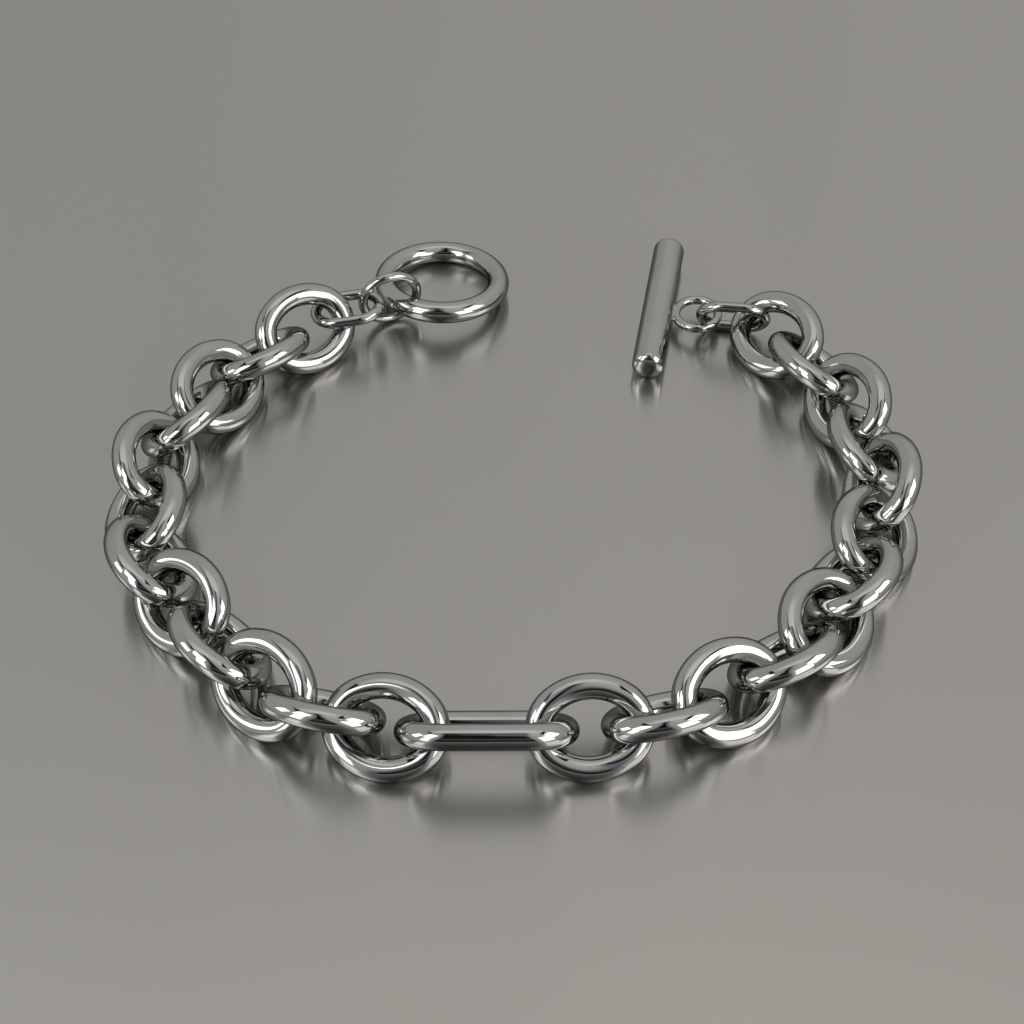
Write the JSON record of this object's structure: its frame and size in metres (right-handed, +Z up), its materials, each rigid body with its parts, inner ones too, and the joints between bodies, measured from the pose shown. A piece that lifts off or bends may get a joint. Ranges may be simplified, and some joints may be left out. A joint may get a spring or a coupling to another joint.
{
  "type": "bracelet",
  "caption": "Open cable chain bracelet of polished round-wire oval links with a round toggle ring at one end and a toggle bar at the other.",
  "frame": {"origin": "under the middle of the box round the bracelet, on the surface that it lies on", "axes": "+X to the right along the long link at the front of the U, +Y away from the viewer towards the clasp, +Z up"},
  "size_m": [0.0852, 0.077, 0.0086],
  "materials": {
    "polished_steel": "mirror polished stainless steel"
  },
  "bodies": {
    "root": {"long_link": "polished_steel", "left_link_1": "polished_steel", "left_link_2": "polished_steel", "left_link_3": "polished_steel", "left_link_4": "polished_steel", "left_link_5": "polished_steel", "left_link_6": "polished_steel", "left_link_7": "polished_steel", "left_link_8": "polished_steel", "left_link_9": "polished_steel", "left_link_10": "polished_steel", "left_link_11": "polished_steel", "left_link_12": "polished_steel", "right_link_1": "polished_steel", "right_link_2": "polished_steel", "right_link_3": "polished_steel", "right_link_4": "polished_steel", "right_link_5": "polished_steel", "right_link_6": "polished_steel", "right_link_7": "polished_steel", "right_link_8": "polished_steel", "right_link_9": "polished_steel", "right_link_10": "polished_steel", "right_link_11": "polished_steel", "right_link_12": "polished_steel", "left_small_link": "polished_steel", "jump_ring": "polished_steel", "toggle_ring": "polished_steel", "right_small_link": "polished_steel", "toggle_bar": "polished_steel"}
  },
  "joints": []
}
